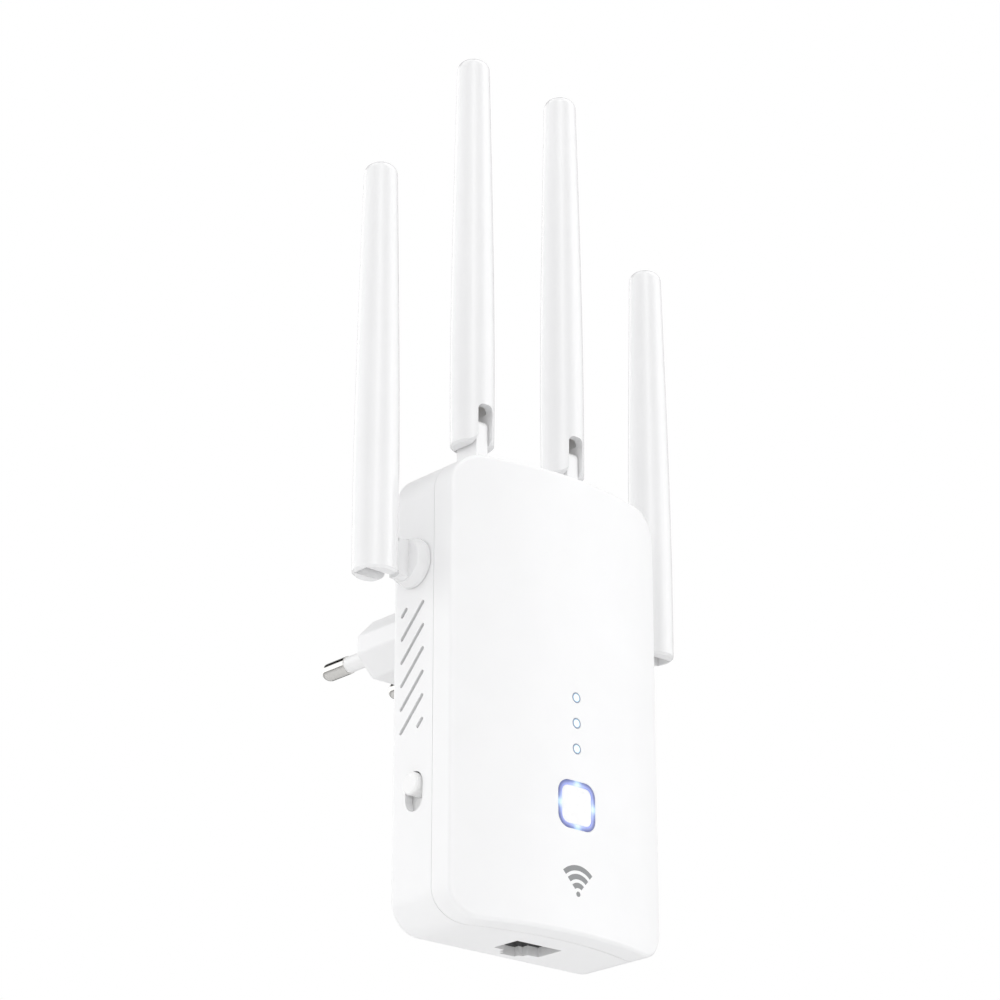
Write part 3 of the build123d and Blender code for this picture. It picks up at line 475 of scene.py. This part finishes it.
class Surroundings:
    """World shader: plain white when seen straight, an even glow for soft light, and for
    reflections a studio of bright strips and dark gaps, as a tent with openings gives."""

    def __init__(self):
        world = bpy.data.worlds.new("studio_world")
        bpy.context.scene.world = world
        world.use_nodes = True
        self.tree = world.node_tree
        self.tree.nodes.clear()
        split = self.tree.nodes.new("ShaderNodeSeparateXYZ")
        place = self.tree.nodes.new("ShaderNodeTexCoord")
        self.tree.links.new(place.outputs["Generated"], split.inputs["Vector"])
        self.x, self.y, self.z = (split.outputs[k] for k in "XYZ")

    def math(self, operation, *values):
        made = self.tree.nodes.new("ShaderNodeMath")
        made.operation = operation
        for socket, value in zip(made.inputs, values):
            if isinstance(value, (int, float)):
                socket.default_value = value
            else:
                self.tree.links.new(value, socket)
        return made.outputs[0]

    def curve(self, angle, low, high, stops):
        """Brightness along an angle: stops are (degrees, brightness), up to BRIGHTEST."""
        made = self.tree.nodes.new("ShaderNodeValToRGB")
        made.color_ramp.interpolation = "EASE"
        elements = made.color_ramp.elements
        while len(elements) < len(stops):
            elements.new(0.5)
        for element, (degrees, bright) in zip(elements, stops):
            element.position = (degrees - low) / (high - low)
            element.color = (*[bright / BRIGHTEST] * 3, 1)
        spread = self.math("DIVIDE", self.math("SUBTRACT", angle, low), high - low)
        self.tree.links.new(spread, made.inputs["Fac"])
        return self.math("MULTIPLY", made.outputs["Color"], BRIGHTEST)

    def background(self, strength):
        made = self.tree.nodes.new("ShaderNodeBackground")
        made.inputs["Color"].default_value = (1, 1, 1, 1)
        if isinstance(strength, (int, float)):
            made.inputs["Strength"].default_value = strength
        else:
            self.tree.links.new(strength, made.inputs["Strength"])
        return made.outputs[0]

    def choose(self, factor, first, second):
        made = self.tree.nodes.new("ShaderNodeMixShader")
        self.tree.links.new(factor, made.inputs["Fac"])
        self.tree.links.new(first, made.inputs[1])
        self.tree.links.new(second, made.inputs[2])
        return made.outputs[0]

    def build(self, glow, round_stops, rear_stops):
        degrees = 180 / math.pi
        back_y = self.math("MULTIPLY", self.y, -1.0)
        azimuth = self.math("MULTIPLY", self.math("ARCTAN2", self.x, back_y), degrees)
        elevation = self.math("MULTIPLY", self.math("ARCSINE", self.z), degrees)
        strips = self.curve(azimuth, -180, 180, round_stops)
        rear = self.curve(elevation, -90, 90, rear_stops)
        behind = self.tree.nodes.new("ShaderNodeMapRange")
        behind.interpolation_type = "SMOOTHSTEP"
        behind.inputs["From Min"].default_value = 0.45
        behind.inputs["From Max"].default_value = 0.6
        self.tree.links.new(self.y, behind.inputs["Value"])
        left = self.tree.nodes.new("ShaderNodeMapRange")
        left.interpolation_type = "SMOOTHSTEP"
        left.inputs["From Min"].default_value = 0.45
        left.inputs["From Max"].default_value = 0.15
        self.tree.links.new(self.x, left.inputs["Value"])
        share = self.math("MULTIPLY", behind.outputs["Result"], left.outputs["Result"])
        mirrored = self.choose(share, self.background(strips), self.background(rear))
        path = self.tree.nodes.new("ShaderNodeLightPath")
        light = self.choose(path.outputs["Is Glossy Ray"], self.background(glow), mirrored)
        seen = self.choose(path.outputs["Is Camera Ray"], light, self.background(1.0))
        output = self.tree.nodes.new("ShaderNodeOutputWorld")
        self.tree.links.new(seen, output.inputs["Surface"])


def background():
    round_stops = (
        (-180, 0.8), (-139, 1.8), (-108, 0.9), (-82, 0.1), (-60, 0.7), (-36, 2.6), (-14, 0.6),
        (0, 0.05), (16, 0.7), (38, 2.8), (62, 2.4), (92, 1.1), (115, 0.5), (138, 0.05),
        (162, 0.4), (180, 0.8),
    )
    rear_stops = (
        (-90, 0.0), (-62, 0.1), (-48, 2.0), (-28, 2.0), (-18, 0.0), (-6, 0.0), (4, 1.6),
        (32, 1.6), (40, 0.0), (52, 0.0), (62, 2.0), (90, 2.0),
    )
    Surroundings().build(0.74, round_stops, rear_stops)


def camera():
    """Low on the left, looking up at the front."""
    data = bpy.data.cameras.new("camera")
    data.sensor_width = 36
    data.lens = 116.05
    data.clip_start, data.clip_end = 0.01, 20
    made = bpy.data.objects.new("camera", data)
    bpy.context.scene.collection.objects.link(made)
    made.location = (-0.42731, -0.51107, -0.23579)
    target = Vector((-0.01192, -0.0420, 0.02226))
    made.rotation_euler = (target - made.location).to_track_quat("-Z", "Y").to_euler()
    bpy.context.scene.camera = made


studio()
background()
camera()
bpy.context.scene.view_settings.view_transform = "Standard"
